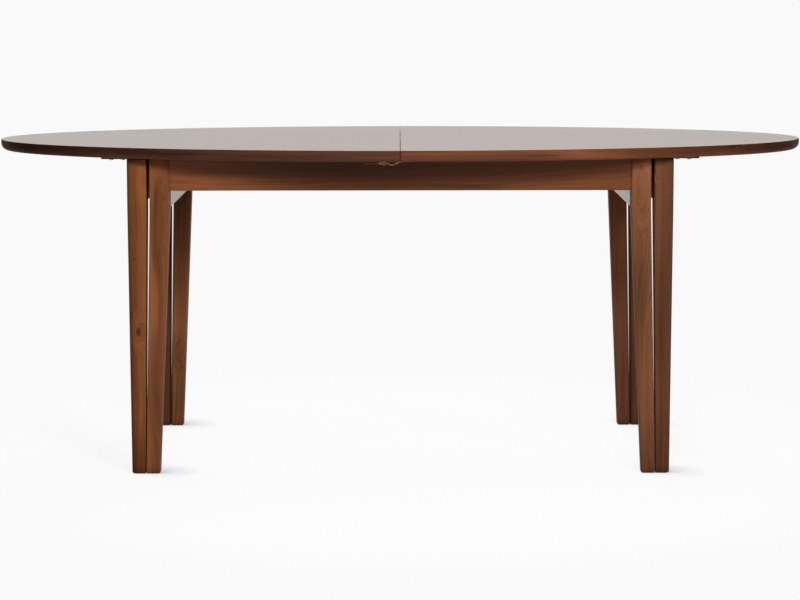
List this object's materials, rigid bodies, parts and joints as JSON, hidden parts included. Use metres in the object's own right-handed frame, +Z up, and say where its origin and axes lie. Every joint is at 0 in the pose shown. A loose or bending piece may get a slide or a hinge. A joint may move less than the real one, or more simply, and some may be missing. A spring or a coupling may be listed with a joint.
{
  "type": "oval extension dining table",
  "caption": "Oval walnut dining table whose top parts at a middle seam; split legs and end rails slide out with each half top on wooden runners, and brass catches lock the seam.",
  "frame": {"origin": "on the floor, under the middle of the top's seam", "axes": "+X along the table's length to the right end, +Y to the rear, +Z up; the front is at -Y"},
  "size_m": [1.876, 1, 0.74],
  "materials": {
    "walnut_top": "satin lacquered walnut",
    "walnut_frame": "satin lacquered walnut",
    "beech": "waxed beech",
    "steel": "zinc plated steel",
    "black_steel": "black oxide steel",
    "brass": "worn polished brass",
    "glide_plastic": "dark brown glides",
    "nylon": "glide tape"
  },
  "bodies": {
    "center_frame": {"inner_leg_front_left": "walnut_frame", "inner_leg_front_right": "walnut_frame", "inner_leg_rear_left": "walnut_frame", "inner_leg_rear_right": "walnut_frame", "front_apron": "walnut_frame", "rear_apron": "walnut_frame", "left_inner_rail": "walnut_frame", "right_inner_rail": "walnut_frame", "front_guide": "beech", "rear_guide": "beech", "front_glide_strip": "nylon", "rear_glide_strip": "nylon", "left_leaf_bearer": "beech", "right_leaf_bearer": "beech", "spare_leaf": "walnut_top", "leaf_dowels": "beech", "corner_blocks": "beech", "corner_bolts": "steel", "corner_nuts": "steel", "guide_stop_blocks": "beech", "bearer_screws": "steel", "inner_foot_pads": "glide_plastic"},
    "left_end": {"left_top": "walnut_top", "outer_leg_front_left": "walnut_frame", "outer_leg_rear_left": "walnut_frame", "left_outer_rail": "walnut_frame", "left_front_runner": "beech", "left_rear_runner": "beech", "left_runner_lugs": "beech", "left_runner_screws": "steel", "left_leg_plates": "black_steel", "left_plate_screws": "steel", "left_leg_screws": "steel", "left_rail_brackets": "steel", "left_bracket_screws": "steel", "left_foot_pads": "glide_plastic", "seam_dowels": "beech", "lock_plates": "brass", "lock_pivots": "brass", "lock_plate_screws": "brass"},
    "right_end": {"right_top": "walnut_top", "outer_leg_front_right": "walnut_frame", "outer_leg_rear_right": "walnut_frame", "right_outer_rail": "walnut_frame", "right_front_runner": "beech", "right_rear_runner": "beech", "right_runner_lugs": "beech", "right_runner_screws": "steel", "right_leg_plates": "black_steel", "right_plate_screws": "steel", "right_leg_screws": "steel", "right_rail_brackets": "steel", "right_bracket_screws": "steel", "right_foot_pads": "glide_plastic", "lock_keepers": "brass", "keeper_screws": "brass"},
    "front_lock_lever": {"front_lock_lever": "brass"},
    "rear_lock_lever": {"rear_lock_lever": "brass"}
  },
  "joints": [
    {"name": "left_end_slide", "type": "slide", "parent": "center_frame", "child": "left_end", "axis": [-1, 0, 0], "range_m": [0, 0.2396]},
    {"name": "right_end_slide", "type": "slide", "parent": "center_frame", "child": "right_end", "axis": [1, 0, 0], "range_m": [0, 0.2396]},
    {"name": "front_lock_hinge", "type": "hinge", "parent": "left_end", "child": "front_lock_lever", "pos_m": [-0.036, -0.42102, 0.707], "axis": [0, 0, -1], "range_deg": [-9, 80]},
    {"name": "rear_lock_hinge", "type": "hinge", "parent": "left_end", "child": "rear_lock_lever", "pos_m": [-0.036, 0.42102, 0.707], "axis": [0, 0, 1], "range_deg": [-9, 80]}
  ]
}
